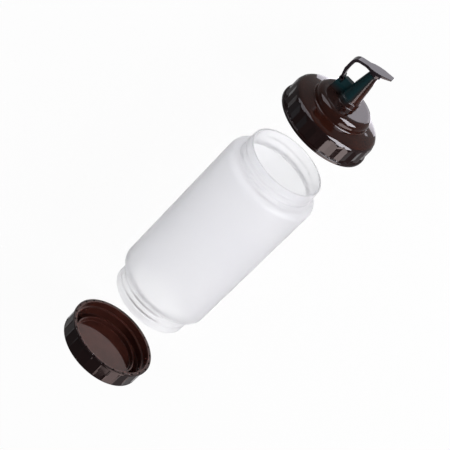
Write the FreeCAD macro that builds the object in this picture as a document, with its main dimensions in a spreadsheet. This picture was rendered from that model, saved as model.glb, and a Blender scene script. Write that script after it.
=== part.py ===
import FreeCAD, Part
import math
import os
import Sketcher

# Squeeze bottle with a threaded neck at each end, laid on its side with both screw caps taken
# off and lying in line with it: the plain refill cap at the -X end, the dispensing cap with its
# cone spout and hinged tip arm at the +X end.  +X runs along the bottle, towards the spout;
# +Z is up; the origin is under the middle of the row, on the surface that it lies on.
#
# Every turned piece is drawn with its axis along its own Z and then laid along +X: its own X
# becomes +Y of the row and its own Y becomes +Z.

SIZES = {
    # bottle
    "NeckRadius": (28.9, "outside of both necks, under the thread"),
    "NeckBore": (27.4, "inside of both necks"),
    "LowNeck": (15.4, "length of the neck at the refill end"),
    "TopNeck": (13.9, "length of the neck at the dispensing end"),
    "SideLow": (34.5, "outside radius of the side at the refill end"),
    "SideTop": (35.7, "outside radius of the side at the dispensing end"),
    "SideLength": (123.6, "from one shoulder plane to the other"),
    "WallThick": (1.3, "wall of the side and the shoulders"),
    "ShoulderRound": (5.0, "outer rounding of the shoulders"),
    # screw threads, the same on both necks and in both caps
    "ThreadPitch": (4.6, "rise in one turn"),
    "ThreadRise": (6.4, "rise of the whole thread, from end to end"),
    "ThreadInset": (5.3, "from a neck's rim to the middle of the thread's first end"),
    "ThreadDepth": (1.2, "how far a tooth stands out of its wall"),
    "ThreadRoot": (2.2, "width of a tooth at its wall"),
    "ThreadCrest": (0.8, "width of a tooth at its crest"),
    # refill cap
    "CapBore": (30.4, "inside of both caps' skirts"),
    "RefillLip": (33.0, "radius of the lip round the open side"),
    "RefillLipThick": (1.6, "height of the lip"),
    "RefillTop": (32.1, "radius of the skirt under the lip"),
    "RefillBase": (31.9, "radius of the skirt at the closed end"),
    "RefillHeight": (14.3, "height of the cap"),
    "RefillFloor": (1.8, "thickness of the closed end"),
    "SealRadius": (25.0, "outside of the raised sealing ring"),
    "SealThick": (1.4, "wall of the sealing ring"),
    "SealHeight": (3.6, "height of the sealing ring above the floor"),
    "LipDotRing": (32.0, "radius of the ring of small dimples in the lip"),
    "LipDot": (0.55, "radius of a dimple"),
    # dispensing cap, heights counted from the underside of its flange
    "FlangeRadius": (34.6, "radius of the flange"),
    "FlangeThick": (2.2, "thickness of the flange"),
    "SkirtRadius": (33.6, "radius of the grip skirt"),
    "SkirtTop": (15.0, "height of the top edge of the skirt"),
    "SkirtRound": (1.8, "rounding of that edge"),
    "BossRadius": (21.7, "radius of the raised boss"),
    "BossFoot": (18.2, "height at which the sloping shoulder meets the boss"),
    "BossTop": (25.7, "height of the flat top of the boss"),
    "BossRound": (4.3, "rounding of the boss"),
    "CollarRadius": (7.8, "radius of the collar round the spout's foot"),
    "CollarTop": (29.9, "height of the collar's top"),
    "SpoutFoot": (6.9, "radius of the cone spout above the collar"),
    "SpoutTip": (3.7, "radius of the cone spout at its tip"),
    "SpoutTop": (53.4, "height of the tip"),
    "SpoutBoreFoot": (5.2, "radius of the spout's bore at the boss"),
    "SpoutBoreTip": (1.6, "radius of the spout's bore at the tip"),
    "RoofThick": (1.9, "thickness of the shoulder and of the boss's top"),
    # V flutes round the dispensing cap, and flats round the refill cap
    "GripHalf": (4.2, "half width of a flute, from its valley to the ridge beside it"),
    "FlatHalf": (3.95, "half width of a flat"),
    "GripStep": (0.27, "how far a ridge lies inside the skirt's full radius"),
    "FluteDepth": (0.75, "depth of a flute's valley"),
    "FluteTurn": (6.5, "angle from own X to the first valley"),
    # hinge post beside the spout, and the hinge of the tip arm
    "PostThick": (4.7, "thickness of the post"),
    "PostSide": (15.8, "distance of the post's outer face from the axis, at its foot"),
    "PostTop": (38.1, "height of the post"),
    "HingeSide": (13.7, "distance of the hinge pin from the cap's axis"),
    "HingeHeight": (36.2, "height of the hinge pin"),
    "KnuckleRadius": (1.6, "outside of the hinge knuckles"),
    "TongueThick": (2.9, "thickness of the post's own knuckle"),
    "PinRadius": (0.6, "radius of the hinge pin"),
    "PinPlay": (0.05, "radial play of the pin"),
    "HingeGap": (0.3, "free gap between the arm and what it passes"),
    # tip arm
    "ArmWidth": (6.5, "width of the arm's leg and bar"),
    "ArmSide": (16.9, "distance of the leg's outer face from the axis"),
    "LegThick": (2.4, "thickness of the leg"),
    "BarHeight": (58.0, "height of the bar's upper face over the spout"),
    "BarRise": (0.23, "rise of the bar for each millimetre across the cap"),
    "BarThick": (2.0, "thickness of the bar"),
    "ThumbReach": (10.8, "how far the thumb tab reaches past the axis"),
    "ThumbThick": (0.9, "thickness of the thumb tab's end"),
    "ThumbWidth": (5.6, "width of the thumb tab's end"),
    "TipRadius": (4.8, "radius of the tip cover under the bar"),
    "PlateWidth": (10.2, "width of the bar over the spout"),
    # where the pieces lie
    "LowRimStart": (60.5, "from the refill cap's closed end to the bottle's lower rim"),
    "CapStart": (251.3, "from the refill cap's closed end to the flange's underside"),
    "RestFlat": (0.15, "depth of the small flat that each round piece lies on"),
}
FLUTES = 24
LIP_DOTS = 24


class Measure:
    """A length that knows the spreadsheet expression it comes from."""

    def __init__(self, value, text):
        self.value = value
        self.text = text

    def combine(self, other, sign, value_of):
        if not isinstance(other, Measure):
            other = Measure(float(other), str(other))
        value = value_of(self.value, other.value)
        return Measure(value, "(" + self.text + " " + sign + " " + other.text + ")")

    def __add__(self, other):
        return self.combine(other, "+", lambda a, b: a + b)

    def __sub__(self, other):
        return self.combine(other, "-", lambda a, b: a - b)

    def __mul__(self, other):
        return self.combine(other, "*", lambda a, b: a * b)

    def __truediv__(self, other):
        return self.combine(other, "/", lambda a, b: a / b)


class Sheet:
    """The spreadsheet of driving dimensions; sheet.NeckRadius gives that Measure."""

    def __init__(self, doc, sizes):
        self.table = doc.addObject("Spreadsheet::Sheet", "Sizes")
        for row, (name, (value, note)) in enumerate(sizes.items(), start=1):
            self.table.set("A%d" % row, name)
            self.table.set("B%d" % row, str(value))
            self.table.setAlias("B%d" % row, name)
            self.table.set("C%d" % row, note)
            setattr(self, name, Measure(value, "Sizes." + name))
        doc.recompute()


doc = FreeCAD.newDocument("squeeze_bottle")
D = Sheet(doc, SIZES)
ZERO = Measure(0.0, "0")
ALONG_ROW = FreeCAD.Rotation(FreeCAD.Vector(1, 1, 1), 120)


# ---------------------------------------------------------------- drawing helpers
def bind(thing, prop, measure):
    """Drive a property by the spreadsheet."""
    thing.setExpression(prop, measure.text)


def origin_plane(body, role):
    return [item for item in body.Origin.OriginFeatures if item.Role == role][0]


def new_sketch(body, name, role, offset=None):
    sketch = body.newObject("Sketcher::SketchObject", name)
    sketch.AttachmentSupport = [(origin_plane(body, role), "")]
    sketch.MapMode = "FlatFace"
    if offset is not None:
        sketch.setExpression("AttachmentOffset.Base.z", offset.text)
    return sketch


def place_point(sketch, line, end, across, along):
    """Hold one end of a line at two driven distances from the sketch's origin."""
    for kind, measure in (("DistanceX", across), ("DistanceY", along)):
        if measure.value == 0:
            axis = -2 if kind == "DistanceX" else -1
            sketch.addConstraint(Sketcher.Constraint("PointOnObject", line, end, axis))
            continue
        number = sketch.addConstraint(Sketcher.Constraint(kind, -1, 1, line, end, measure.value))
        sketch.setExpression("Constraints[%d]" % number, measure.text)


def outline(body, name, role, points, offset=None):
    """A closed outline of straight runs through driven points."""
    sketch = new_sketch(body, name, role, offset)
    places = [FreeCAD.Vector(across.value, along.value, 0) for across, along in points]
    count = len(points)
    for i in range(count):
        sketch.addGeometry(Part.LineSegment(places[i], places[(i + 1) % count]))
    for i in range(count):
        sketch.addConstraint(Sketcher.Constraint("Coincident", i, 2, (i + 1) % count, 1))
    for i, (across, along) in enumerate(points):
        place_point(sketch, i, 1, across, along)
    return sketch


def circle_sketch(body, name, role, across, along, radius, offset=None):
    """One driven circle."""
    sketch = new_sketch(body, name, role, offset)
    middle = FreeCAD.Vector(across.value, along.value, 0)
    sketch.addGeometry(Part.Circle(middle, FreeCAD.Vector(0, 0, 1), radius.value))
    number = sketch.addConstraint(Sketcher.Constraint("Radius", 0, radius.value))
    sketch.setExpression("Constraints[%d]" % number, radius.text)
    place_point(sketch, 0, 3, across, along)
    return sketch


def turned(body, name, points, kind="PartDesign::Revolution"):
    """Turn (radius, height) points about the piece's own Z, adding or, as a Groove, cutting."""
    sketch = outline(body, name + "_outline", "XZ_Plane", points)
    feature = body.newObject(kind, name)
    feature.Profile = sketch
    feature.ReferenceAxis = (sketch, ["V_Axis"])
    feature.Angle = 360
    doc.recompute()
    return feature


def pad_across(body, name, points, width):
    """Pad an outline of (own X, own Z) points evenly to both sides of the XZ plane."""
    sketch = outline(body, name + "_outline", "XZ_Plane", points)
    feature = body.newObject("PartDesign::Pad", name)
    feature.Profile = sketch
    feature.Midplane = True
    bind(feature, "Length", width)
    doc.recompute()
    return feature


def circle_across(body, name, across, along, radius, width, kind="PartDesign::Pad"):
    """A round bar, or as a Pocket a round hole, along own Y and centred on the XZ plane."""
    sketch = circle_sketch(body, name + "_outline", "XZ_Plane", across, along, radius)
    feature = body.newObject(kind, name)
    feature.Profile = sketch
    feature.Midplane = True
    bind(feature, "Length", width)
    doc.recompute()
    return feature


def ring_edges(shape, spots):
    """Names of the circular edges about own Z at the given (radius, height) spots."""
    names = []
    for radius, height in spots:
        found = None
        for number, edge in enumerate(shape.Edges, start=1):
            curve = edge.Curve
            if not isinstance(curve, Part.Circle):
                continue
            near = abs(curve.Radius - radius.value) < 0.01
            if near and abs(curve.Center.z - height.value) < 0.01:
                found = "Edge%d" % number
        if found is None:
            raise RuntimeError("no ring edge at %.2f, %.2f" % (radius.value, height.value))
        names.append(found)
    return names


def line_edges(shape, spots):
    """Names of the straight edges along own Y that pass the given (own X, own Z) spots."""
    names = []
    for across, along in spots:
        for number, edge in enumerate(shape.Edges, start=1):
            middle = edge.BoundBox.Center
            flat = edge.BoundBox.XLength < 0.01 and edge.BoundBox.ZLength < 0.01
            near = abs(middle.x - across.value) < 0.01 and abs(middle.z - along.value) < 0.01
            if flat and near:
                names.append("Edge%d" % number)
    if len(names) < len(spots):
        raise RuntimeError("an edge to round is missing")
    return names


def rounded(body, name, base, edges, radius):
    feature = body.newObject("PartDesign::Fillet", name)
    feature.Base = (base, edges)
    bind(feature, "Radius", radius)
    doc.recompute()
    return feature


def threaded(body, name, wall, inward, start):
    """A screw tooth that stands out of a round wall, or into it where inward is true."""
    root = D.ThreadRoot / 2
    crest = D.ThreadCrest / 2
    bite = 0.3
    if inward:
        foot, top = wall + bite, wall - D.ThreadDepth
    else:
        foot, top = wall - bite, wall + D.ThreadDepth
    points = [(foot, start - root), (top, start - crest), (top, start + crest), (foot, start + root)]
    sketch = outline(body, name + "_outline", "XZ_Plane", points)
    feature = body.newObject("PartDesign::AdditiveHelix", name)
    feature.Profile = sketch
    feature.ReferenceAxis = (sketch, ["V_Axis"])
    feature.Mode = 0
    bind(feature, "Pitch", D.ThreadPitch)
    bind(feature, "Height", D.ThreadRise)
    doc.recompute()
    return feature


def repeated(body, name, feature, count):
    """Repeat a feature round the piece's own Z."""
    pattern = body.newObject("PartDesign::PolarPattern", name)
    pattern.Originals = [feature]
    pattern.Axis = (origin_plane(body, "Z_Axis"), [""])
    pattern.Angle = 360
    pattern.Occurrences = count
    body.Tip = pattern
    doc.recompute()
    return pattern


def cut_upright(body, name, sketch, low, high, count):
    """Cut a drawn outline along own Z between two heights, and repeat it round the piece."""
    before = body.Shape.Volume
    pocket = body.newObject("PartDesign::Pocket", name)
    pocket.Profile = sketch
    pocket.Reversed = True
    bind(pocket, "Length", high - low)
    doc.recompute()
    repeated(body, name + "_ring", pocket, count)
    if not body.Shape.Volume < before:
        raise RuntimeError(name + " cuts nothing")


def cut_grip(body, radius, half, valley, low, high):
    """Upright V flutes round a skirt, or flats where the valley is no deeper than the ridges."""
    ridge = radius - D.GripStep
    points = [(ridge, ZERO - half), (radius + 1, ZERO - half), (radius + 1, half), (ridge, half)]
    if valley.value > D.GripStep.value:
        points.append((radius - valley, ZERO))
    sketch = outline(body, "grip_outline", "XY_Plane", points, low)
    bind(sketch, "AttachmentOffset.Rotation.Angle", D.FluteTurn)
    cut_upright(body, "grip", sketch, low, high, FLUTES)


def lay_down(piece, start, axis_height):
    """Lay a piece along +X with its own origin at a driven place in the row."""
    piece.Placement = FreeCAD.Placement(FreeCAD.Vector(0, 0, 0), ALONG_ROW)
    bind(piece, "Placement.Base.x", start - ROW_LENGTH / 2)
    bind(piece, "Placement.Base.z", axis_height - D.RestFlat)
    doc.recompute()


# ---------------------------------------------------------------- derived places
SHOULDER_LOW = D.LowNeck
SHOULDER_TOP = D.LowNeck + D.SideLength
BOTTLE_LENGTH = SHOULDER_TOP + D.TopNeck
THUMB_TOP = D.BarHeight + D.BarRise * D.ThumbReach
ROW_LENGTH = D.CapStart + THUMB_TOP


def make_bottle():
    """The blow-moulded body: a thin shell, open at both necks."""
    body = doc.addObject("PartDesign::Body", "bottle_form")
    wall = D.WallThick
    points = [
        (D.NeckRadius, ZERO),
        (D.NeckRadius, SHOULDER_LOW),
        (D.SideLow, SHOULDER_LOW),
        (D.SideTop, SHOULDER_TOP),
        (D.NeckRadius, SHOULDER_TOP),
        (D.NeckRadius, BOTTLE_LENGTH),
        (D.NeckBore, BOTTLE_LENGTH),
        (D.NeckBore, SHOULDER_TOP - wall),
        (D.SideTop - wall, SHOULDER_TOP - wall),
        (D.SideLow - wall, SHOULDER_LOW + wall),
        (D.NeckBore, SHOULDER_LOW + wall),
        (D.NeckBore, ZERO),
    ]
    shell = turned(body, "shell", points)
    spots = [(D.SideLow, SHOULDER_LOW), (D.SideTop, SHOULDER_TOP)]
    outer = rounded(body, "shoulders", shell, ring_edges(shell.Shape, spots), D.ShoulderRound)
    spots = [(D.SideLow - wall, SHOULDER_LOW + wall), (D.SideTop - wall, SHOULDER_TOP - wall)]
    inner_round = D.ShoulderRound - wall
    inner = rounded(body, "shoulders_inside", outer, ring_edges(outer.Shape, spots), inner_round)
    spots = [(D.NeckRadius, SHOULDER_LOW), (D.NeckRadius, SHOULDER_TOP)]
    roots = rounded(body, "neck_roots", inner, ring_edges(inner.Shape, spots), wall)
    spots = [(D.NeckRadius, ZERO), (D.NeckBore, ZERO),
             (D.NeckRadius, BOTTLE_LENGTH), (D.NeckBore, BOTTLE_LENGTH)]
    rounded(body, "rims", roots, ring_edges(roots.Shape, spots), wall / 3)
    threaded(body, "low_thread", D.NeckRadius, False, D.ThreadInset)
    start = BOTTLE_LENGTH - D.ThreadInset - D.ThreadRise
    threaded(body, "top_thread", D.NeckRadius, False, start)
    lay_down(body, D.LowRimStart, D.SideTop)
    return body


def make_refill_cap():
    """The plain cap: a fluted cup with an inner thread and a raised sealing ring."""
    body = doc.addObject("PartDesign::Body", "refill_form")
    under_lip = D.RefillHeight - D.RefillLipThick
    seal_top = D.RefillFloor + D.SealHeight
    points = [
        (ZERO, ZERO),
        (D.RefillBase, ZERO),
        (D.RefillTop, under_lip),
        (D.RefillLip, under_lip),
        (D.RefillLip, D.RefillHeight),
        (D.CapBore, D.RefillHeight),
        (D.CapBore, D.RefillFloor),
        (D.SealRadius, D.RefillFloor),
        (D.SealRadius, seal_top),
        (D.SealRadius - D.SealThick, seal_top),
        (D.SealRadius - D.SealThick, D.RefillFloor),
        (ZERO, D.RefillFloor),
    ]
    cup = turned(body, "cup", points)
    spots = [(D.RefillBase, ZERO)]
    cup = rounded(body, "base_round", cup, ring_edges(cup.Shape, spots), D.FluteDepth)
    spots = [(D.RefillLip, D.RefillHeight), (D.RefillLip, under_lip),
             (D.SealRadius, seal_top), (D.SealRadius - D.SealThick, seal_top)]
    rounded(body, "lip_round", cup, ring_edges(cup.Shape, spots), D.SealThick / 4)
    cut_grip(body, D.RefillBase, D.FlatHalf, D.GripStep, D.FluteDepth, under_lip)
    low = D.RefillHeight - D.LipDot
    dot = circle_sketch(body, "lip_dot_outline", "XY_Plane", D.LipDotRing, ZERO, D.LipDot, low)
    cut_upright(body, "lip_dot", dot, low, D.RefillHeight + 1, LIP_DOTS)
    start = D.RefillHeight - D.ThreadInset - D.ThreadRise + D.ThreadRoot
    threaded(body, "cap_thread", D.CapBore, True, start)
    lay_down(body, ZERO, D.RefillLip)
    return body


def add_hinge_post(body):
    """The flat post beside the spout, with the knuckle that carries the tip arm."""
    step_side = D.HingeSide - D.KnuckleRadius - D.HingeGap
    step_height = D.HingeHeight - D.KnuckleRadius * 2
    foot = D.BossTop - 1
    points = [
        (D.SpoutTip, foot),
        (D.PostSide, foot),
        (D.HingeSide + D.KnuckleRadius, step_height),
        (step_side, step_height),
        (step_side, D.PostTop),
        (D.SpoutTip, D.PostTop),
    ]
    pad_across(body, "post", points, D.PostThick)
    points = [
        (step_side - D.HingeGap, step_height - 2),
        (D.HingeSide + D.KnuckleRadius, step_height - 2),
        (D.HingeSide + D.KnuckleRadius, step_height),
        (D.HingeSide + D.KnuckleRadius * 0.6, D.HingeHeight - D.KnuckleRadius * 0.8),
        (D.HingeSide, D.HingeHeight),
        (D.HingeSide, D.HingeHeight + D.KnuckleRadius),
        (step_side - D.HingeGap, D.HingeHeight + D.KnuckleRadius),
    ]
    pad_across(body, "tongue", points, D.TongueThick)
    circle_across(body, "tongue_knuckle", D.HingeSide, D.HingeHeight, D.KnuckleRadius,
                  D.TongueThick)
    circle_across(body, "pin_hole", D.HingeSide, D.HingeHeight, D.PinRadius, D.PostThick,
                  "PartDesign::Pocket")


def make_dispensing_cap():
    """The spout cap: flange, fluted skirt, stepped dome, cone spout and hinge post."""
    body = doc.addObject("PartDesign::Body", "dispensing_form")
    points = [
        (ZERO, ZERO),
        (D.FlangeRadius, ZERO),
        (D.FlangeRadius, D.FlangeThick),
        (D.SkirtRadius, D.FlangeThick),
        (D.SkirtRadius, D.SkirtTop),
        (D.BossRadius, D.BossFoot),
        (D.BossRadius, D.BossTop),
        (D.CollarRadius, D.BossTop),
        (D.CollarRadius, D.CollarTop),
        (D.SpoutFoot, D.CollarTop),
        (D.SpoutTip, D.SpoutTop),
        (ZERO, D.SpoutTop),
    ]
    dome = turned(body, "dome", points)
    spots = [(D.SkirtRadius, D.SkirtTop)]
    dome = rounded(body, "skirt_round", dome, ring_edges(dome.Shape, spots), D.SkirtRound)
    spots = [(D.BossRadius, D.BossTop)]
    dome = rounded(body, "boss_round", dome, ring_edges(dome.Shape, spots), D.BossRound)
    spots = [(D.BossRadius, D.BossFoot)]
    dome = rounded(body, "boss_root", dome, ring_edges(dome.Shape, spots), D.WallThick)
    spots = [(D.FlangeRadius, ZERO), (D.FlangeRadius, D.FlangeThick),
             (D.CollarRadius, D.CollarTop), (D.CollarRadius, D.BossTop)]
    rounded(body, "small_rounds", dome, ring_edges(dome.Shape, spots), D.WallThick / 2)
    add_hinge_post(body)
    inside = D.BossRadius - D.RoofThick
    skirt_roof = D.SkirtTop - D.RoofThick
    boss_roof = D.BossTop - D.RoofThick
    points = [
        (ZERO, ZERO),
        (D.CapBore, ZERO),
        (D.CapBore, skirt_roof),
        (inside, skirt_roof),
        (inside, boss_roof - D.BossRound / 2),
        (inside - D.BossRound / 2, boss_roof),
        (D.SpoutBoreFoot, boss_roof),
        (D.SpoutBoreTip, D.SpoutTop),
        (ZERO, D.SpoutTop),
    ]
    before = body.Shape.Volume
    turned(body, "hollow", points, "PartDesign::Groove")
    if not body.Shape.Volume < before:
        raise RuntimeError("the hollow cuts nothing")
    cut_grip(body, D.SkirtRadius, D.GripHalf, D.FluteDepth, D.FlangeThick, D.SkirtTop)
    start = D.ThreadInset - D.ThreadRoot / 2
    threaded(body, "cap_thread", D.CapBore, True, start)
    lay_down(body, D.CapStart, D.FlangeRadius)
    return body


def bar_upper(across):
    """Height of the bar's upper face at a place across the cap."""
    return D.BarHeight - D.BarRise * across


def make_arm_side():
    """The arm seen from its side: knuckles, leg, bar and thumb tab."""
    body = doc.addObject("PartDesign::Body", "arm_side")
    root = D.HingeHeight + D.KnuckleRadius + D.HingeGap
    inner = D.ArmSide - D.LegThick
    reach = ZERO - D.ThumbReach
    neck = ZERO - D.ThumbReach / 2
    wide = D.PlateWidth
    points = [
        (D.HingeSide - D.PinRadius, root),
        (D.HingeSide + D.KnuckleRadius, root),
        (D.ArmSide, root + D.LegThick * 2.2),
        (D.ArmSide, bar_upper(D.ArmSide)),
        (reach, THUMB_TOP),
        (reach, THUMB_TOP - D.ThumbThick),
        (neck, bar_upper(neck) - D.BarThick),
        (inner, bar_upper(inner) - D.BarThick),
        (inner, root + D.LegThick * 2.4),
        (inner - D.PinRadius, root + D.LegThick / 2),
    ]
    leg = pad_across(body, "leg_and_bar", points, wide)
    spots = [(D.ArmSide, bar_upper(D.ArmSide))]
    leg = rounded(body, "outer_bend", leg, line_edges(leg.Shape, spots), D.LegThick * 2)
    spots = [(inner, bar_upper(inner) - D.BarThick)]
    leg = rounded(body, "inner_bend", leg, line_edges(leg.Shape, spots), D.LegThick * 1.2)
    points = [
        (D.HingeSide - D.KnuckleRadius, D.HingeHeight),
        (D.HingeSide + D.KnuckleRadius, D.HingeHeight),
        (D.HingeSide + D.KnuckleRadius, root + 0.2),
        (D.HingeSide - D.PinRadius, root + 0.2),
    ]
    pad_across(body, "ears", points, wide)
    circle_across(body, "ear_rounds", D.HingeSide, D.HingeHeight, D.KnuckleRadius, wide)
    gap = D.HingeGap * 2 + D.TongueThick
    clear = D.KnuckleRadius + D.HingeGap * 2.4
    before = body.Shape.Volume
    circle_across(body, "fork_gap", D.HingeSide, D.HingeHeight, clear, gap,
                  "PartDesign::Pocket")
    circle_across(body, "ear_holes", D.HingeSide, D.HingeHeight, D.PinRadius + D.PinPlay, wide,
                  "PartDesign::Pocket")
    if not body.Shape.Volume < before:
        raise RuntimeError("the fork has no gap")
    return body


def make_arm_plan():
    """The arm seen from the spout's end: narrow leg, round plate, tapered thumb tab."""
    body = doc.addObject("PartDesign::Body", "arm_plan")
    half = D.ArmWidth / 2
    wide = D.PlateWidth / 2
    side = [
        (D.ArmSide + 1, half),
        (D.TipRadius * 1.5, half),
        (D.TipRadius * 0.8, wide * 0.92),
        (D.TipRadius * 0.2, wide),
        (ZERO - D.TipRadius * 0.6, wide * 0.97),
        (ZERO - D.ThumbReach - 0.05, D.ThumbWidth / 2),
    ]
    mirrored = [(across, ZERO - along) for across, along in reversed(side)]
    sketch = outline(body, "plan_outline", "XY_Plane", side + mirrored)
    pad = body.newObject("PartDesign::Pad", "plan")
    pad.Profile = sketch
    bind(pad, "Length", THUMB_TOP + 1)
    doc.recompute()
    return body


def make_tip_arm():
    """The hinged arm, as what its side view and its plan share, with the tip cover."""
    common = doc.addObject("Part::Common", "arm_form")
    common.Base = make_arm_side()
    common.Tool = make_arm_plan()
    cover = doc.addObject("Part::Cylinder", "tip_cover")
    bind(cover, "Radius", D.TipRadius)
    bind(cover, "Height", D.BarHeight - D.BarThick / 2 - D.SpoutTop - D.HingeGap)
    bind(cover, "Placement.Base.z", D.SpoutTop + D.HingeGap)
    arm = doc.addObject("Part::Fuse", "arm_whole")
    arm.Base = common
    arm.Tool = cover
    doc.recompute()
    lay_down(arm, D.CapStart, D.FlangeRadius)
    return arm


def make_hinge_pin():
    """The pin through the post's knuckle and the arm's two ears."""
    pin = doc.addObject("Part::Cylinder", "pin_form")
    bind(pin, "Radius", D.PinRadius)
    bind(pin, "Height", D.ArmWidth)
    bind(pin, "Placement.Base.x", D.CapStart + D.HingeHeight - ROW_LENGTH / 2)
    bind(pin, "Placement.Base.y", D.HingeSide)
    bind(pin, "Placement.Base.z", D.FlangeRadius - D.RestFlat - D.ArmWidth / 2)
    doc.recompute()
    return pin


def ground_box():
    """What lies below the surface that the row rests on."""
    box = doc.addObject("Part::Box", "ground")
    bind(box, "Length", ROW_LENGTH * 1.2)
    bind(box, "Width", D.SideTop * 3)
    bind(box, "Height", D.SideTop)
    bind(box, "Placement.Base.x", ZERO - ROW_LENGTH * 0.6)
    bind(box, "Placement.Base.y", ZERO - D.SideTop * 1.5)
    bind(box, "Placement.Base.z", ZERO - D.SideTop)
    return box


def with_flat(piece, ground):
    """Give a round piece the small flat that it lies on."""
    cut = doc.addObject("Part::Cut", piece.Name + "_rested")
    cut.Base = piece
    cut.Tool = ground
    doc.recompute()
    return cut


# ---------------------------------------------------------------- the pieces
ground = ground_box()
nodes = {
    "bottle_body": with_flat(make_bottle(), ground),
    "refill_cap": with_flat(make_refill_cap(), ground),
    "dispensing_cap": with_flat(make_dispensing_cap(), ground),
    "tip_arm": make_tip_arm(),
    "hinge_pin": make_hinge_pin(),
}
for label, piece in nodes.items():
    piece.Label = label
doc.recompute()

for thing in doc.Objects:
    if "Invalid" in thing.State or "Error" in thing.State:
        raise RuntimeError("failed: " + thing.Label + " " + str(thing.State))
for label, piece in nodes.items():
    shape = piece.Shape
    if shape.isNull() or not shape.isValid() or len(shape.Solids) != 1:
        raise RuntimeError(label + " is not one valid solid")

os.makedirs("parts", exist_ok=True)
for label, piece in nodes.items():
    piece.Shape.exportStep(os.path.join("parts", label + ".step"))
    print("%-16s %8.3f cm3" % (label, piece.Shape.Volume / 1000))
lean = math.degrees(math.atan((D.SideTop.value - D.SideLow.value) / D.SideLength.value))
print("side draft %.2f degrees, row length %.1f mm" % (lean, ROW_LENGTH.value))
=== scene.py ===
import math

import bmesh
import bpy
import numpy as np
from mathutils import Matrix, Vector
from mathutils.geometry import tessellate_polygon


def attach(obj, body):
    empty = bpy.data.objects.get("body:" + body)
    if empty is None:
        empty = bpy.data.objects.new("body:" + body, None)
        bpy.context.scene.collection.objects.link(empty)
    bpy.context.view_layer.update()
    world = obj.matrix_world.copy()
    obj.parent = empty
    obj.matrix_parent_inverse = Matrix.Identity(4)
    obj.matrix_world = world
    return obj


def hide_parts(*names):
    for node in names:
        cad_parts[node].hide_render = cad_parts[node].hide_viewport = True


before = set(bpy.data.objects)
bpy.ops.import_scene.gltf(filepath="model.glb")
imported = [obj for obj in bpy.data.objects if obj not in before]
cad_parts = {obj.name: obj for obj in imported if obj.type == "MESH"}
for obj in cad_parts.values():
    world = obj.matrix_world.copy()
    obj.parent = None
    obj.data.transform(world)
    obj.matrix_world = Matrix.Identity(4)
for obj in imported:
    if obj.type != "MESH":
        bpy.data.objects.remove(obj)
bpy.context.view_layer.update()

# Lengths are in millimetres until MM turns them into metres.
MM = 0.001

# Where each piece starts along the row, and how high its axis lies.
ROW_START = -155.89            # the refill cap's closed end
BOTTLE_START = -95.39          # the bottle's lower rim
CAP_START = 95.41              # the underside of the dispensing cap's flange
BOTTLE_AXIS = 35.55
REFILL_AXIS = 32.85
CAP_AXIS = 34.45

# The screw threads.
PITCH = 4.6
THREAD_RISE = 6.4              # how far a thread climbs in all
THREAD_INSET = 5.3             # from a rim to the near end of its thread
THREAD_DEPTH = 1.2
TOOTH = (1.1, 0.7)             # half a cap's tooth, and its flank
SOFT_TOOTH = (1.5, 1.45)       # the same on the bottle, where the teeth are blurred
SOFT_SHARE = 0.5               # how much of the depth the blurred teeth keep

# The grips round both caps.
GRIPS = 24
GRIP_TURN = 6.5                # degrees from +Y to the first valley
GRIP_STEP = 0.27               # how deep a ridge's edge lies under the skirt's radius

# The bottle.
NECK, NECK_BORE = 28.9, 27.4
SHOULDER_LOW, SHOULDER_TOP, BOTTLE_LENGTH = 15.4, 139.0, 152.9
SIDE_LOW, SIDE_TOP = 34.4, 35.6
WALL = 1.3
SHOULDER_ROUND, INNER_ROUND = 5.0, 3.7
NECK_ROOT, BORE_ROOT, RIM_ROUND = 2.4, 0.8, 0.7
AROUND_BOTTLE = 448

# The refill cap.
REFILL_SKIRT, REFILL_TOP, REFILL_LIP = 31.9, 32.1, 33.0
REFILL_LIP_LOW, REFILL_HEIGHT = 12.7, 14.3
REFILL_BORE, REFILL_FLOOR = 30.3, 1.8
RING_OUTER, RING_INNER, RING_TOP = 25.0, 23.6, 5.4
REFILL_GRIP = 3.95             # half the width of a grip flat
REFILL_THREAD_SHIFT = 2.2
LIP_DOTS = 24
LIP_DOT_RING = 31.75

# The dispensing cap, its spout and the post that carries the hinge.
FLANGE, FLANGE_TOP = 34.6, 2.2
SKIRT, SKIRT_TOP, SKIRT_ROUND = 33.6, 15.0, 4.6
BOSS, BOSS_LOW, BOSS_TOP, BOSS_ROUND = 21.7, 18.2, 25.7, 4.3
COLLAR, COLLAR_TOP = 7.8, 29.9
SPOUT_FOOT, SPOUT_TIP, SPOUT_TOP = 6.9, 3.7, 53.4
SPOUT_BORE_TIP, SPOUT_BORE_FOOT, BOSS_CEILING = 1.6, 5.2, 23.8
BOSS_BORE, SKIRT_CEILING, SKIRT_BORE = 19.8, 13.1, 30.4
CEILING_SLANT = 2.15
CAP_GRIP, CAP_VALLEY = 4.2, 0.75
CAP_THREAD_SHIFT = 1.1
POST_IN, POST_OUT, POST_LOW, POST_STEP, POST_TOP = 3.2, 15.3, 24.7, 33.0, 38.1
POST_HALF = 2.35
TONGUE_IN = 11.5
TONGUE_TOP = 37.8
TONGUE_HALF = 1.45

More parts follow.
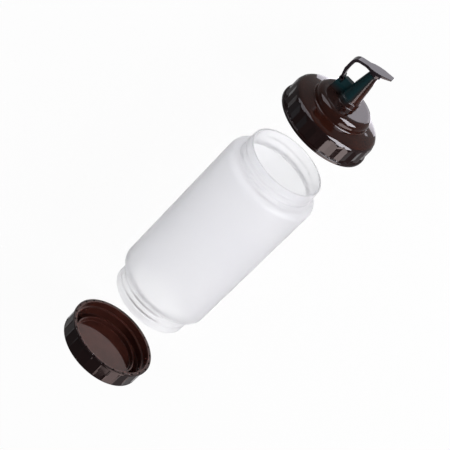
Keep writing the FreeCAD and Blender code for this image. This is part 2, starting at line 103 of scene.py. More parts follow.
# The hinge and the tip arm.
HINGE_SIDE, HINGE_HEIGHT = 13.7, 36.2
KNUCKLE, PIN = 1.6, 0.6
EAR_IN, EAR_OUT = 1.75, 3.25
LEG_INNER, LEG_OUTER = 14.5, 16.9
LEG_ROOT = 38.1
LEG_STRAIGHT = (43.4, 49.0)    # heights between which the leg's outer side is straight
OUTER_BEND, INNER_BEND = 4.8, 2.9
BAR_HEIGHT, BAR_SLOPE, BAR_THICK = 58.0, 0.23, 2.0
BAR_INNER_START, BAR_INNER_END = 11.0, 11.4
THUMB_END, THUMB_THICK, THUMB_TAPER = -10.8, 0.9, 5.4
ARM_WIDTHS = [(-10.85, 2.8), (-2.88, 4.95), (0.96, 5.1), (3.84, 4.69), (7.2, 3.25), (17.9, 3.25)]
COVER, COVER_LOW, COVER_TOP = 4.8, 53.7, 57.0


# ---------------------------------------------------------------- round pieces
def rounded_path(corners, step=1.2, fine_step=0.22):
    """Samples a closed outline of (x, r, rounding, tag); tag names the edge that starts there.
    Returns a list of (x, r, tag)."""
    count = len(corners)
    starts, ends, arcs = [], [], []
    for i in range(count):
        x, r, rounding, tag = corners[i]
        here = Vector((x, r))
        before = Vector(corners[i - 1][:2]) - here
        after = Vector(corners[(i + 1) % count][:2]) - here
        if rounding <= 0 or before.length < 1e-6 or after.length < 1e-6:
            starts.append(here)
            ends.append(here)
            arcs.append([here])
            continue
        angle = before.angle(after)
        reach = rounding / math.tan(angle / 2)
        for other, edge in ((corners[i - 1][2], before), (corners[(i + 1) % count][2], after)):
            reach = min(reach, edge.length * 0.98 * rounding / (rounding + max(other, 0)))
        real = reach * math.tan(angle / 2)
        a = here + before.normalized() * reach
        b = here + after.normalized() * reach
        middle = here + (before.normalized() + after.normalized()).normalized() * (
            real / math.sin(angle / 2))
        va, vb = a - middle, b - middle
        turn = va.angle_signed(vb)
        pieces = max(3, int(abs(turn) / math.radians(9)))
        arc = []
        for k in range(pieces + 1):
            t = -turn * k / pieces
            arc.append(middle + Vector((va.x * math.cos(t) - va.y * math.sin(t),
                                        va.x * math.sin(t) + va.y * math.cos(t))))
        starts.append(a)
        ends.append(b)
        arcs.append(arc)
    path = []
    for i in range(count):
        tag = corners[i][3]
        for p in arcs[i]:
            path.append((p.x, p.y, tag))
        a, b = ends[i], starts[(i + 1) % count]
        pieces = max(1, int((b - a).length / (fine_step if tag in ("thread", "flute") else step)))
        for k in range(1, pieces):
            p = a.lerp(b, k / pieces)
            path.append((p.x, p.y, tag))
    clean = [path[0]]
    for p in path[1:]:
        if math.hypot(p[0] - clean[-1][0], p[1] - clean[-1][1]) > 1e-4:
            clean.append(p)
    return clean


def finish_mesh(name, mesh, angle=32.0):
    """Merges doubles, makes normals point outwards, smooths, and links the object."""
    form = bmesh.new()
    form.from_mesh(mesh)
    bmesh.ops.remove_doubles(form, verts=form.verts, dist=2e-6)
    bmesh.ops.recalc_face_normals(form, faces=form.faces)
    form.to_mesh(mesh)
    form.free()
    mesh.shade_smooth()
    mesh.set_sharp_from_angle(angle=math.radians(angle))
    piece = bpy.data.objects.new(name, mesh)
    bpy.context.scene.collection.objects.link(piece)
    return piece


def revolved(name, path, axis_height, around, start, shape=None, crease=32.0):
    """A surface turned about the row's axis from a closed path of (x, r, tag).
    around is a count or the angles themselves; shape(x, r, tag, angles) returns the radius at
    each angle. Angle 0 is +Y, a quarter turn is +Z. Nothing goes below the floor."""
    if isinstance(around, int):
        angles = np.linspace(0, 2 * math.pi, around, endpoint=False)
    else:
        angles = np.array(around)
        around = len(angles)
    rows = []
    for x, r, tag in path:
        radius = np.full(around, r) if shape is None else shape(x, r, tag, angles)
        y = radius * np.cos(angles)
        z = radius * np.sin(angles) + axis_height
        rows.append(np.stack([np.full(around, x + start), y, np.maximum(z, 0.0)], axis=1))
    points = np.concatenate(rows) * MM
    count = len(path)
    faces = []
    for i in range(count):
        j = (i + 1) % count
        if path[i][1] < 1e-6 and path[j][1] < 1e-6:
            continue
        for k in range(around):
            m = (k + 1) % around
            a, b = i * around + k, i * around + m
            c, d = j * around + m, j * around + k
            if path[i][1] < 1e-6:
                faces.append((a, c, d))
            elif path[j][1] < 1e-6:
                faces.append((a, b, d))
            else:
                faces.append((a, b, c, d))
    mesh = bpy.data.meshes.new(name)
    mesh.from_pydata([tuple(p) for p in points], [], faces)
    return finish_mesh(name, mesh, crease)


def helix_bump(x, angles, first, half, flank):
    """Height, 0 to 1, of the thread that starts at x = first, at each angle."""
    turns = angles / (2 * math.pi)
    total = THREAD_RISE / PITCH
    height = np.zeros_like(angles)
    for k in (0, 1):
        t = turns + k
        away = np.abs(x - (first + PITCH * t))
        tooth = np.clip((half - away) / flank, 0, 1)
        tooth = tooth * tooth * (3 - 2 * tooth)
        fade = np.clip(t / 0.05, 0, 1) * np.clip((total - t) / 0.05, 0, 1)
        height = np.maximum(height, tooth * fade)
    return height


def grip_angles(radius, half):
    """Angles that follow the grip: the valleys, both sides of each ridge, and steps between."""
    edge = math.degrees(math.asin(half / (radius - GRIP_STEP)))
    offsets = [0, edge * 0.3, edge * 0.6, edge * 0.85, edge]
    offsets = sorted(set([-o for o in offsets] + offsets)) + [180.0 / GRIPS]
    return [math.radians(GRIP_TURN + 360.0 / GRIPS * k + o) for k in range(GRIPS) for o in offsets]


def grip_radius(r, angles, radius, half, valley):
    """Radius r of a skirt, cut back to its V flutes, or to flats where valley is GRIP_STEP."""
    step = 2 * math.pi / GRIPS
    off = np.abs((angles - math.radians(GRIP_TURN) + step / 2) % step - step / 2)
    slope = (valley - GRIP_STEP) / half
    cut = (radius - valley) / (np.cos(off) - slope * np.sin(off))
    inside = cut * np.sin(off) <= half + 1e-6
    return np.where(inside, np.minimum(cut, r), r)


# ---------------------------------------------------------------- flat pieces
def soften(piece, width, segments):
    """Rounds the piece's sharp edges."""
    soft = piece.modifiers.new("soft_edges", "BEVEL")
    soft.width = width * MM
    soft.segments = segments
    soft.limit_method = "ANGLE"
    soft.angle_limit = math.radians(40)


def extruded(name, outline, between, bevel):
    """A solid from an outline of (across, height), given in the dispensing cap's own frame.
    between(across) gives the two places along Z that it lies between there."""
    count = len(outline)
    verts = []
    for side in (0, 1):
        for y, x in outline:
            verts.append(((x + CAP_START) * MM, y * MM, (CAP_AXIS + between(y)[side]) * MM))
    faces = []
    for i in range(count):
        j = (i + 1) % count
        faces.append((i, j, count + j, count + i))
    flat = [Vector((x, y, 0)) for y, x in outline]
    for a, b, c in tessellate_polygon([flat]):
        faces.append((a, b, c))
        faces.append((count + a, count + c, count + b))
    mesh = bpy.data.meshes.new(name)
    mesh.from_pydata(verts, [], faces)
    piece = finish_mesh(name, mesh)
    soften(piece, bevel, 3)
    return piece


def knuckle(name, low, high, radius, around=40):
    """A short round bar along Z, on the hinge's axis."""
    mesh = bpy.data.meshes.new(name)
    form = bmesh.new()
    made = bmesh.ops.create_cone(form, cap_ends=True, segments=around, radius1=radius * MM,
                                 radius2=radius * MM, depth=(high - low) * MM)
    place = Matrix.Translation(((HINGE_HEIGHT + CAP_START) * MM, HINGE_SIDE * MM,
                                (CAP_AXIS + (low + high) / 2) * MM))
    bmesh.ops.transform(form, matrix=place, verts=made["verts"])
    form.to_mesh(mesh)
    form.free()
    piece = finish_mesh(name, mesh)
    soften(piece, 0.15, 2)
    return piece


def bend(start, corner, end, pieces=9):
    """Points between start and end, on a curve drawn towards corner."""
    points = []
    for k in range(1, pieces):
        t = k / pieces
        points.append(tuple((1 - t) ** 2 * start + 2 * t * (1 - t) * corner + t * t * end))
    return points


# ---------------------------------------------------------------- materials
DARK_IOR = 1.2
FROSTED_IOR = 1.35
FROSTED_TRANSMISSION = 0.84
BROWN = ((0.020, 0.0058, 0.0038), (0.034, 0.0094, 0.0056))
# Painted light: a lighter, redder copy of the caps' brown, so that the refill cap's inner wall
# looks lit.
REFILL_BROWN_PAINTED_LIGHT = ((0.034, 0.0105, 0.0078), (0.054, 0.0160, 0.0115))
ARM_BROWN = ((0.015, 0.0105, 0.013), (0.026, 0.018, 0.022))
DOT_BLACK = ((0.001, 0.0006, 0.0005), (0.003, 0.002, 0.0015))
FROST = ((0.965, 0.965, 0.985), (0.985, 0.985, 0.998))
# Painted reflection: a blue-green tint put into the base colour on one side of the spout and post.
SLATE_PAINTED_REFLECTION = (0.006, 0.026, 0.030)
# Painted shade: a darker brown put on the outer skirts of both caps.
SKIRT_PAINTED_SHADE = (0.0125, 0.0050, 0.0048)
PAINTED_REFLECTION_X = (0.1195, 0.127)      # metres along the row over which the painted blue-green reflection comes in
PAINTED_REFLECTION_Y = (-0.0035, 0.0005)    # and across it
SKIRT_SHADE_EDGE = 0.3               # half the width over which the skirt's painted shade comes in


def nodes_of(material):
    material.use_nodes = True
    tree = material.node_tree
    tree.nodes.clear()
    return tree, tree.nodes, tree.links


def add_noise(tree, scale, detail):
    place = tree.nodes.new("ShaderNodeTexCoord")
    noise = tree.nodes.new("ShaderNodeTexNoise")
    noise.inputs["Scale"].default_value = scale
    noise.inputs["Detail"].default_value = detail
    tree.links.new(place.outputs["Object"], noise.inputs["Vector"])
    return noise


def ramp(tree, source, low, high):
    node = tree.nodes.new("ShaderNodeValToRGB")
    node.color_ramp.elements[0].position = 0.35
    node.color_ramp.elements[0].color = (*low, 1)
    node.color_ramp.elements[1].position = 0.65
    node.color_ramp.elements[1].color = (*high, 1)
    tree.links.new(source, node.inputs["Fac"])
    return node.outputs["Color"]


def map_range(tree, source, start, stop, low=0.0, high=1.0):
    """low where source is start, high where it is stop, in a straight line between."""
    node = tree.nodes.new("ShaderNodeMapRange")
    node.inputs["From Min"].default_value = start
    node.inputs["From Max"].default_value = stop
    node.inputs["To Min"].default_value = low
    node.inputs["To Max"].default_value = high
    tree.links.new(source, node.inputs["Value"])
    return node.outputs["Result"]


def zone(tree, axis, low, high):
    """0 to 1 between two places along one axis of the row, in metres."""
    place = tree.nodes.new("ShaderNodeTexCoord")
    split = tree.nodes.new("ShaderNodeSeparateXYZ")
    tree.links.new(place.outputs["Object"], split.inputs["Vector"])
    return map_range(tree, split.outputs[axis], low, high)


def outside(tree, axis_height, radius):
    """1 on the faces further than radius from an axis along the row, 0 inside: where the skirts'
    painted shade goes.
    """
    place = tree.nodes.new("ShaderNodeTexCoord")
    move = tree.nodes.new("ShaderNodeVectorMath")
    move.operation = "MULTIPLY_ADD"
    move.inputs[1].default_value = (0, 1, 1)
    move.inputs[2].default_value = (0, 0, -axis_height * MM)
    tree.links.new(place.outputs["Object"], move.inputs[0])
    length = tree.nodes.new("ShaderNodeVectorMath")
    length.operation = "LENGTH"
    tree.links.new(move.outputs["Vector"], length.inputs[0])
    return map_range(tree, length.outputs["Value"], (radius - SKIRT_SHADE_EDGE) * MM,
                     (radius + SKIRT_SHADE_EDGE) * MM)


def tinted(tree, share, colour, other):
    """colour where share is 0, other where it is 1."""
    tint = tree.nodes.new("ShaderNodeMix")
    tint.data_type = "RGBA"
    tree.links.new(share, tint.inputs["Factor"])
    tree.links.new(colour, tint.inputs["A"])
    tint.inputs["B"].default_value = (*other, 1)
    return tint.outputs["Result"]


def add_bump(tree, shader, scale, strength, distance):
    """Very low, broad waves in the surface."""
    bump = tree.nodes.new("ShaderNodeBump")
    bump.inputs["Strength"].default_value = strength
    bump.inputs["Distance"].default_value = distance
    waves = add_noise(tree, scale, 2.0)
    tree.links.new(waves.outputs["Fac"], bump.inputs["Height"])
    tree.links.new(bump.outputs["Normal"], shader.inputs["Normal"])


def dark_plastic(name, tones=BROWN, rough=(0.03, 0.07), painted_reflection=False, skirt=None, shine=0.5):
    """Glossy dark plastic. slate paints a blue-green reflection onto one side of the spout and
    post; skirt, as (axis height, radius), paints shade onto what lies outside that radius."""
    material = bpy.data.materials.new(name)
    tree, nodes, links = nodes_of(material)
    out = nodes.new("ShaderNodeOutputMaterial")
    shader = nodes.new("ShaderNodeBsdfPrincipled")
    colour = ramp(tree, add_noise(tree, 45.0, 4.0).outputs["Fac"], *tones)
    # Paints a blue-green reflection into the base colour on one side of the spout and post.
    if painted_reflection:
        both = nodes.new("ShaderNodeMath")
        both.operation = "MULTIPLY"
        links.new(zone(tree, "X", *PAINTED_REFLECTION_X), both.inputs[0])
        links.new(zone(tree, "Y", *PAINTED_REFLECTION_Y), both.inputs[1])
        colour = tinted(tree, both.outputs[0], colour, SLATE_PAINTED_REFLECTION)
    # Paints shade onto the outer skirt, outside the given radius.
    if skirt:
        colour = tinted(tree, outside(tree, *skirt), colour, SKIRT_PAINTED_SHADE)
    links.new(colour, shader.inputs["Base Color"])
    fine = add_noise(tree, 240.0, 5.0)
    links.new(map_range(tree, fine.outputs["Fac"], 0.3, 0.7, *rough), shader.inputs["Roughness"])
    shader.inputs["IOR"].default_value = DARK_IOR
    shader.inputs["Specular IOR Level"].default_value = shine
    add_bump(tree, shader, 70.0, 0.05, 0.0004)
    links.new(shader.outputs["BSDF"], out.inputs["Surface"])
    return material


def frosted_plastic(name):
    material = bpy.data.materials.new(name)
    tree, nodes, links = nodes_of(material)
    out = nodes.new("ShaderNodeOutputMaterial")
    shader = nodes.new("ShaderNodeBsdfPrincipled")
    links.new(ramp(tree, add_noise(tree, 22.0, 3.0).outputs["Fac"], *FROST),
              shader.inputs["Base Color"])
    fine = add_noise(tree, 160.0, 4.0)
    links.new(map_range(tree, fine.outputs["Fac"], 0.3, 0.7, 0.30, 0.38),
              shader.inputs["Roughness"])
    shader.inputs["IOR"].default_value = FROSTED_IOR
    shader.inputs["Transmission Weight"].default_value = FROSTED_TRANSMISSION
    add_bump(tree, shader, 30.0, 0.08, 0.0005)
    links.new(shader.outputs["BSDF"], out.inputs["Surface"])
    return material


def dress(piece, material, body, node=None):
    piece.data.materials.clear()
    piece.data.materials.append(material)
    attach(piece, body)
    if node:
        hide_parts(node)


# ---------------------------------------------------------------- the bottle
def bottle_piece():
    path = rounded_path([
        (0.0, NECK, RIM_ROUND, "thread"),
        (SHOULDER_LOW, NECK, NECK_ROOT, ""),
        (SHOULDER_LOW, SIDE_LOW, SHOULDER_ROUND, "side"),
        (SHOULDER_TOP, SIDE_TOP, SHOULDER_ROUND, ""),
        (SHOULDER_TOP, NECK, NECK_ROOT, "thread"),
        (BOTTLE_LENGTH, NECK, RIM_ROUND, ""),
        (BOTTLE_LENGTH, NECK_BORE, RIM_ROUND, ""),
        (SHOULDER_TOP - WALL, NECK_BORE, BORE_ROOT, ""),
        (SHOULDER_TOP - WALL, SIDE_TOP - WALL, INNER_ROUND, "side"),
        (SHOULDER_LOW + WALL, SIDE_LOW - WALL, INNER_ROUND, ""),
        (SHOULDER_LOW + WALL, NECK_BORE, BORE_ROOT, ""),
        (0.0, NECK_BORE, RIM_ROUND, ""),
    ])
    starts = (THREAD_INSET, BOTTLE_LENGTH - THREAD_INSET - THREAD_RISE)

    def shape(x, r, tag, angles):
        radius = np.full_like(angles, r)
        if r > NECK - 0.6 and tag == "thread":
            for first in starts:
                bump = helix_bump(x, angles, first, *SOFT_TOOTH)
                radius = radius + SOFT_SHARE * THREAD_DEPTH * bump
        return radius

    return revolved("bottle_form", path, BOTTLE_AXIS, AROUND_BOTTLE, BOTTLE_START, shape)


# ---------------------------------------------------------------- the refill cap
def refill_piece():
    path = rounded_path([
        (0.0, 0.0, 0, ""),
        (0.0, REFILL_SKIRT, 0.75, "flute"),
        (REFILL_LIP_LOW, REFILL_TOP, 0.1, ""),
        (REFILL_LIP_LOW, REFILL_LIP, 0.25, ""),
        (REFILL_HEIGHT, REFILL_LIP, 0.25, ""),
        (REFILL_HEIGHT, REFILL_BORE, 0.2, "thread"),
        (REFILL_FLOOR, REFILL_BORE, 0.9, ""),
        (REFILL_FLOOR, RING_OUTER, 0.4, ""),
        (RING_TOP, RING_OUTER, 0.35, ""),
        (RING_TOP, RING_INNER, 0.35, ""),
        (REFILL_FLOOR, RING_INNER, 0.6, ""),
        (REFILL_FLOOR, 0.0, 0, ""),
    ])
    first = REFILL_HEIGHT - THREAD_INSET - THREAD_RISE + REFILL_THREAD_SHIFT

    def shape(x, r, tag, angles):
        radius = np.full_like(angles, r)
        if tag == "thread" and r < REFILL_BORE + 0.6 and x > REFILL_FLOOR + 0.1:
            radius = radius - THREAD_DEPTH * helix_bump(x, angles, first, *TOOTH)
        if tag == "flute" and 0.6 < x < REFILL_LIP_LOW - 0.05:
            radius = grip_radius(r, angles, REFILL_SKIRT, REFILL_GRIP, GRIP_STEP)
        return radius

    around = grip_angles(REFILL_SKIRT, REFILL_GRIP)
    return revolved("refill_form", path, REFILL_AXIS, around, ROW_START, shape, crease=11.0)


def lip_dots():
    """Small moulded dots in the refill cap's lip."""
    mesh = bpy.data.meshes.new("lip_dots")
    form = bmesh.new()
    for k in range(LIP_DOTS):
        angle = 2 * math.pi * k / LIP_DOTS
        place = Matrix.Translation(((ROW_START + REFILL_HEIGHT) * MM,
                                    LIP_DOT_RING * math.cos(angle) * MM,
                                    (REFILL_AXIS + LIP_DOT_RING * math.sin(angle)) * MM))
        place = place @ Matrix.Rotation(math.pi / 2, 4, "Y")
        bmesh.ops.create_cone(form, cap_ends=True, segments=16, radius1=0.75 * MM,
                              radius2=0.7 * MM, depth=0.2 * MM, matrix=place)
    form.to_mesh(mesh)
    form.free()
    return finish_mesh("lip_dots", mesh)


# ---------------------------------------------------------------- the dispensing cap
def dispensing_piece():
    path = rounded_path([
        (0.0, FLANGE, 0.65, ""),
        (FLANGE_TOP, FLANGE, 0.65, ""),
        (FLANGE_TOP, SKIRT, 0, "flute"),
        (SKIRT_TOP, SKIRT, SKIRT_ROUND, ""),
        (BOSS_LOW, BOSS, 1.3, ""),
        (BOSS_TOP, BOSS, BOSS_ROUND, ""),
        (BOSS_TOP, COLLAR, 0.65, ""),
        (COLLAR_TOP, COLLAR, 0.65, ""),
        (COLLAR_TOP, SPOUT_FOOT, 0.3, ""),
        (SPOUT_TOP, SPOUT_TIP, 0.5, ""),
        (SPOUT_TOP, SPOUT_BORE_TIP, 0.2, ""),
        (BOSS_CEILING, SPOUT_BORE_FOOT, 0.6, ""),
        (BOSS_CEILING, BOSS_BORE - CEILING_SLANT, 0.3, ""),
        (BOSS_CEILING - CEILING_SLANT, BOSS_BORE, 0.3, ""),
        (SKIRT_CEILING, BOSS_BORE, 0.6, ""),
        (SKIRT_CEILING, SKIRT_BORE, 0.8, "thread"),
        (0.0, SKIRT_BORE, 0.4, ""),
    ])
    first = THREAD_INSET - CAP_THREAD_SHIFT

    def shape(x, r, tag, angles):
        radius = np.full_like(angles, r)
        if tag == "thread" and r < SKIRT_BORE + 0.6:
            radius = radius - THREAD_DEPTH * helix_bump(x, angles, first, *TOOTH)
        if FLANGE_TOP + 0.05 < x < SKIRT_TOP and r > SKIRT_BORE + 1.1:
            radius = grip_radius(r, angles, SKIRT, CAP_GRIP, CAP_VALLEY)
        return radius

    around = grip_angles(SKIRT, CAP_GRIP)
    return revolved("dispensing_form", path, CAP_AXIS, around, CAP_START, shape, crease=11.0)


def post_pieces():
    """The post, and the tongue with its round end that fills the arm's fork."""
    outline = [(2.0, POST_LOW), (15.8, POST_LOW), (POST_OUT, POST_STEP), (11.8, POST_STEP),
               (11.8, POST_TOP), (POST_IN, POST_TOP)]
    post = extruded("hinge_post", outline, lambda y: (-POST_HALF, POST_HALF), 0.35)
    outline = [(TONGUE_IN, POST_STEP - 2), (POST_OUT, POST_STEP - 2), (POST_OUT, POST_STEP),
               (14.66, 34.92), (HINGE_SIDE, HINGE_HEIGHT), (HINGE_SIDE, TONGUE_TOP),
               (TONGUE_IN, TONGUE_TOP)]
    tongue = extruded("hinge_tongue", outline, lambda y: (-TONGUE_HALF, TONGUE_HALF), 0.15)
    return post, tongue, knuckle("hinge_knuckle", -TONGUE_HALF, TONGUE_HALF, KNUCKLE)


# ---------------------------------------------------------------- the tip arm
def bar_top(across):
    """Height of the bar's upper face, which slopes down towards the leg."""
    return BAR_HEIGHT - BAR_SLOPE * across


def arm_width(across):
    """Half the arm's width at a place across the cap."""
    for (y0, w0), (y1, w1) in zip(ARM_WIDTHS, ARM_WIDTHS[1:]):
        if across <= y1:
            t = max(0.0, (across - y0) / (y1 - y0))
            t = t * t * (3 - 2 * t) if y0 >= -3 else t
            return w0 + (w1 - w0) * t
    return ARM_WIDTHS[-1][1]


def arm_outline():
    """The arm from the side: up the leg, along the bar to the thumb tab, and back beneath."""
    low, high = LEG_STRAIGHT
    outline = [(13.1, LEG_ROOT), (15.3, LEG_ROOT), (LEG_OUTER, LEG_ROOT + 5.28)]
    outline += [(LEG_OUTER, low + k * (high - low) / 6) for k in range(1, 7)]
    corner = Vector((LEG_OUTER, bar_top(LEG_OUTER)))
    bar_start = LEG_OUTER - OUTER_BEND
    outline += bend(Vector((LEG_OUTER, corner.y - OUTER_BEND)), corner,
                    Vector((bar_start, bar_top(bar_start))))
    for k in range(25):
        y = bar_start + (THUMB_END - LEG_OUTER + OUTER_BEND) * k / 24
        outline.append((y, bar_top(y)))
    taper_end = THUMB_END + THUMB_TAPER
    thumb_low = bar_top(THUMB_END) - THUMB_THICK
    for k in range(7):
        y = THUMB_END + THUMB_TAPER * k / 6
        rise = bar_top(taper_end) - BAR_THICK - thumb_low
        outline.append((y, thumb_low + rise * (y - THUMB_END) / THUMB_TAPER))
    for k in range(1, 13):
        y = taper_end + (BAR_INNER_START - taper_end) * k / 12
        outline.append((y, bar_top(y) - BAR_THICK))
    corner = Vector((LEG_INNER, bar_top(LEG_INNER) - BAR_THICK))
    outline += bend(Vector((BAR_INNER_END, bar_top(BAR_INNER_END) - BAR_THICK)), corner,
                    Vector((LEG_INNER, corner.y - INNER_BEND)))
    outline += [(LEG_INNER, 50.0), (LEG_INNER, LEG_ROOT + 5.76), (13.9, LEG_ROOT + 1.2)]
    return outline


def arm_pieces():
    """The arm's form, its two ears with their round ends, and the cover over the spout's tip."""
    pieces = [extruded("arm_form", arm_outline(), lambda y: (-arm_width(y), arm_width(y)), 0.32)]
    ear = [(12.1, HINGE_HEIGHT), (15.3, HINGE_HEIGHT), (15.3, LEG_ROOT + 0.4),
           (13.1, LEG_ROOT + 0.4)]
    for side, (low, high) in (("a", (EAR_IN, EAR_OUT)), ("b", (-EAR_OUT, -EAR_IN))):
        pieces.append(extruded("ear_" + side, ear, lambda y: (low, high), 0.15))
        pieces.append(knuckle("ear_round_" + side, low, high, KNUCKLE))
    path = rounded_path([(COVER_LOW, 0.0, 0, ""), (COVER_LOW, COVER, 0.6, ""),
                         (COVER_TOP, COVER, 0.1, ""), (COVER_TOP, 0.0, 0, "")])
    cover = revolved("tip_cover", path, CAP_AXIS, 96, CAP_START)
    for vertex in cover.data.vertices:
        if vertex.co.x > (CAP_START + COVER_TOP - 1.0) * MM:     # the top follows the bar
            vertex.co.x = (CAP_START + bar_top(vertex.co.y / MM) - BAR_THICK / 2) * MM
    pieces.append(cover)
    return pieces


# ---------------------------------------------------------------- assembly
clear_plastic = frosted_plastic("clear_plastic")
brown_plastic = dark_plastic("brown_plastic")
# The refill cap: its lighter brown paints light on the inner wall, and its outer skirt gets
# painted shade.
refill_plastic_painted_light = dark_plastic("refill_plastic_painted_light", REFILL_BROWN_PAINTED_LIGHT, skirt=(REFILL_AXIS, 31.1))
# The dispensing cap and its post: a painted blue-green reflection on the spout and post, painted
# shade on the outer skirt.
cap_plastic_painted_light = dark_plastic("cap_plastic_painted_light", painted_reflection=True, skirt=(CAP_AXIS, 32.0))
arm_plastic = dark_plastic("arm_plastic", ARM_BROWN)
dot_plastic = dark_plastic("dot_plastic", DOT_BLACK, rough=(0.8, 0.9), shine=0.0)

bottle = bottle_piece()
dress(bottle, clear_plastic, "bottle", "bottle_body")

refill = refill_piece()
dress(refill, refill_plastic_painted_light, "bottle", "refill_cap")
dots = lip_dots()
dress(dots, dot_plastic, "bottle")

dispensing = dispensing_piece()
dress(dispensing, cap_plastic_painted_light, "bottle", "dispensing_cap")
posts = post_pieces()
for piece in posts:
    dress(piece, cap_plastic_painted_light, "bottle")

arm_parts = arm_pieces()
dress(arm_parts[0], arm_plastic, "arm", "tip_arm")
for piece in arm_parts[1:]:
    dress(piece, arm_plastic, "arm")

pin = knuckle("pin_form", -EAR_OUT, EAR_OUT, PIN, 24)
dress(pin, brown_plastic, "bottle", "hinge_pin")


# ---------------------------------------------------------------- floor and background
FLOOR_HALF = 6.0               # metres
FLOOR_SHARES = (("Is Camera Ray", 0.96), ("Is Transmission Ray", 0.94), ("Is Glossy Ray", 0.3),
                ("Transmission Depth", 0.94))
WORLD_SHARES = (("Is Camera Ray", 1.0), ("Is Transmission Ray", 1.0),
                ("Transmission Depth", 1.0), ("Is Glossy Ray", 0.25))


def sees_background(tree, shares):
    """How far a ray shows the plain white background instead of the lit floor or the dim room."""
    rays = tree.nodes.new("ShaderNodeLightPath")
    found = None
    for output, share in shares:
        part = tree.nodes.new("ShaderNodeMath")
        part.operation = "MULTIPLY"
        part.use_clamp = True
        part.inputs[1].default_value = share
        tree.links.new(rays.outputs[output], part.inputs[0])
        if found is not None:
            either = tree.nodes.new("ShaderNodeMath")
            either.operation = "MAXIMUM"
            tree.links.new(found, either.inputs[0])
            tree.links.new(part.outputs[0], either.inputs[1])
            part = either
        found = part.outputs[0]
    return found


def floor_material():
    """White paper with a faint shadow."""
    material = bpy.data.materials.new("white_paper")
    tree, nodes, links = nodes_of(material)
    out = nodes.new("ShaderNodeOutputMaterial")
    paper = nodes.new("ShaderNodeBsdfDiffuse")
    links.new(ramp(tree, add_noise(tree, 6.0, 2.0).outputs["Fac"], (0.93,) * 3, (0.95,) * 3),
              paper.inputs["Color"])
    glow = nodes.new("ShaderNodeEmission")
    glow.inputs["Color"].default_value = (1, 1, 1, 1)
    glow.inputs["Strength"].default_value = 1.0
    mix = nodes.new("ShaderNodeMixShader")
    links.new(sees_background(tree, FLOOR_SHARES), mix.inputs["Fac"])
    links.new(paper.outputs["BSDF"], mix.inputs[1])
    links.new(glow.outputs["Emission"], mix.inputs[2])
    links.new(mix.outputs["Shader"], out.inputs["Surface"])
    return material


def background(tree, colour, strength):
    node = tree.nodes.new("ShaderNodeBackground")
    node.inputs["Color"].default_value = (*colour, 1)
    node.inputs["Strength"].default_value = strength
    return node.outputs["Background"]


floor_mesh = bpy.data.meshes.new("floor")
floor_mesh.from_pydata([(x * FLOOR_HALF, y * FLOOR_HALF, 0)
                        for x, y in ((-1, -1), (1, -1), (1, 1), (-1, 1))], [], [(0, 1, 2, 3)])
floor = bpy.data.objects.new("floor", floor_mesh)
bpy.context.scene.collection.objects.link(floor)
floor.location.z = -0.0001
floor.data.materials.append(floor_material())

world = bpy.data.worlds.new("studio")
bpy.context.scene.world = world
tree, nodes, links = nodes_of(world)
out = nodes.new("ShaderNodeOutputWorld")
mix = nodes.new("ShaderNodeMixShader")
links.new(sees_background(tree, WORLD_SHARES), mix.inputs["Fac"])
links.new(background(tree, (0.95, 0.96, 1.0), 0.16), mix.inputs[1])
links.new(background(tree, (1, 1, 1), 1.0), mix.inputs[2])
links.new(mix.outputs["Shader"], out.inputs["Surface"])


# ---------------------------------------------------------------- camera
TARGET = Vector((-10.69, -0.2, 35.55)) * MM
TILT = math.radians(31.3)      # from straight down
ROLL = math.radians(45.1)      # of the row in the picture
DISTANCE = 2.019
SENSOR = 36
LENS = 3000 / 450 * SENSOR
AWAY = Vector((math.sin(TILT), 0, math.cos(TILT)))      # from the object to the camera
ALONG = Vector((math.cos(TILT), 0, -math.sin(TILT)))
SIDE = Vector((0, -1, 0))
RIGHT = math.cos(ROLL) * ALONG + math.sin(ROLL) * SIDE
UP = math.sin(ROLL) * ALONG - math.cos(ROLL) * SIDE

camera_data = bpy.data.cameras.new("camera")
camera = bpy.data.objects.new("camera", camera_data)
bpy.context.scene.collection.objects.link(camera)
camera_data.sensor_width = SENSOR
camera_data.lens = LENS
basis = Matrix((RIGHT, UP, AWAY)).transposed().to_4x4()
camera.matrix_world = Matrix.Translation(TARGET + AWAY * DISTANCE) @ basis
camera_data.clip_start = 0.05
camera_data.clip_end = 50
bpy.context.scene.camera = camera


# ---------------------------------------------------------------- light
LILAC = (0.96, 0.93, 1.0)
PALE_LILAC = (0.93, 0.9, 1.0)
COOL = (0.7, 0.85, 1.0)
RUST = (1.0, 0.76, 0.73)
ROSE = (1.0, 0.83, 0.81)
CARD_SPREAD = math.radians(120)
CARD_GAIN = 1.65               # what that spread adds to a floor card's brightness in the view


def group(name, pieces):
    """A collection of the pieces that a card may light."""
    made = bpy.data.collections.new(name)
    bpy.context.scene.collection.children.link(made)
    for piece in pieces:
        made.objects.link(piece)
    return made


def lamp_piece(name, size, radiance, colour, mirrored_by):
    """A rectangular area lamp. radiance is the brightness of its face. With mirrored_by, it is
    only a reflection in the pieces of that group, and else it lights all but isn't mirrored."""
    lamp = bpy.data.lights.new(name, "AREA")
    lamp.shape = "RECTANGLE"
    lamp.size, lamp.size_y = size
    lamp.energy = radiance * math.pi * size[0] * size[1]
    lamp.color = colour
    piece = bpy.data.objects.new(name, lamp)
    bpy.context.scene.collection.objects.link(piece)
    piece.visible_camera = False
    piece.visible_glossy = mirrored_by is not None
    if mirrored_by:
        piece.visible_diffuse = False
        piece.visible_transmission = False
        piece.light_linking.receiver_collection = mirrored_by
    return piece


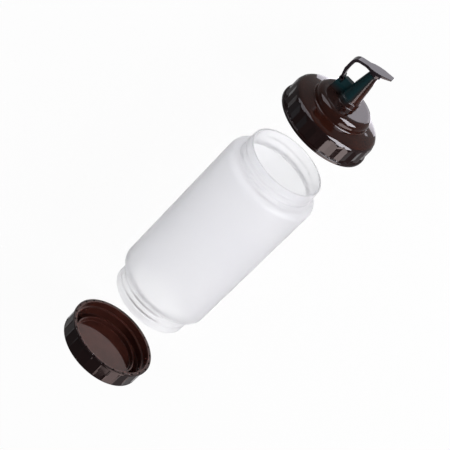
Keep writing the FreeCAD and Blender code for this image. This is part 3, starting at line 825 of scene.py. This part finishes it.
def softbox(name, direction, distance, size, radiance, colour=(1, 1, 1), mirrored_by=None):
    """A lamp facing the object. direction is (right, up, towards the camera) in the view."""
    piece = lamp_piece(name, size, radiance, colour, mirrored_by)
    way = (direction[0] * RIGHT + direction[1] * UP + direction[2] * AWAY).normalized()
    piece.location = TARGET + way * distance
    piece.rotation_mode = "QUATERNION"
    piece.rotation_quaternion = (-way).to_track_quat("-Z", "Y")


def low_card(name, x, y, radiance, colour, mirrored_by):
    """A bright card on the floor, from x to x and from y to y in metres, that shines upwards."""
    piece = lamp_piece(name, (x[1] - x[0], y[1] - y[0]), radiance / CARD_GAIN, colour,
                       mirrored_by)
    piece.data.spread = CARD_SPREAD
    piece.location = ((x[0] + x[1]) / 2, (y[0] + y[1]) / 2, 0.0004)
    piece.rotation_euler = (math.pi, 0, 0)


def mirrored_way(angle, lean=0.0):
    """Where a side of a cap mirrors the view, as a direction in the view. The side is turned by
    angle from the view, towards -Y, and leans by lean towards +X."""
    turned, tipped = math.radians(angle), math.radians(lean)
    side = Vector((math.sin(tipped), -math.cos(tipped) * math.sin(turned),
                   math.cos(tipped) * math.cos(turned)))
    way = 2 * side.dot(AWAY) * side - AWAY
    return (way.dot(RIGHT), way.dot(UP), way.dot(AWAY))


spout_side = group("spout_side", [dispensing, pin, *posts, *arm_parts])
cap_only = group("cap_only", [dispensing])
refill_side = group("refill_side", [refill, dots])

softbox("key", (0.62, -0.45, 0.65), 1.3, (0.9, 0.5), 11.0, (1.0, 0.98, 1.0))
softbox("fill", (-0.8, 0.25, 0.7), 1.5, (0.7, 0.9), 1.8, (0.97, 0.98, 1.0))
softbox("top", (0.1, 1.0, 0.5), 1.5, (1.1, 0.5), 2.5)
softbox("right_card", mirrored_way(29.0, 3.0), 1.2, (0.8, 1.1), 15.0, ROSE, spout_side)
softbox("right_edge_card", mirrored_way(31.0, 46.0), 0.9, (0.75, 0.7), 55.0, LILAC, cap_only)
softbox("left_card", mirrored_way(-36.0), 1.2, (0.5, 0.7), 0.45, COOL, spout_side)
softbox("left_edge_card", mirrored_way(-31.0, 46.0), 0.9, (0.75, 0.6), 10.0, LILAC, cap_only)
softbox("refill_right_card", mirrored_way(33.0), 1.2, (0.6, 1.1), 7.0, RUST, refill_side)
for name, x, y, radiance, colour, seen_by in (
        ("disc_card", (0.126, 0.147), (-0.034, -0.004), 5.0, PALE_LILAC, spout_side),
        ("right_shoulder_card", (0.109, 0.118), (-0.034, -0.019), 3.5, PALE_LILAC, spout_side),
        ("left_shoulder_card", (0.109, 0.118), (0.014, 0.030), 3.5, PALE_LILAC, spout_side),
        ("bar_card", (0.160, 0.195), (-0.006, 0.030), 4.0, PALE_LILAC, spout_side),
        ("lip_card", (-0.1405, -0.098), (-0.034, 0.034), 2.6, RUST, refill_side)):
    low_card(name, x, y, radiance, colour, seen_by)

bpy.context.scene.view_settings.view_transform = "Standard"
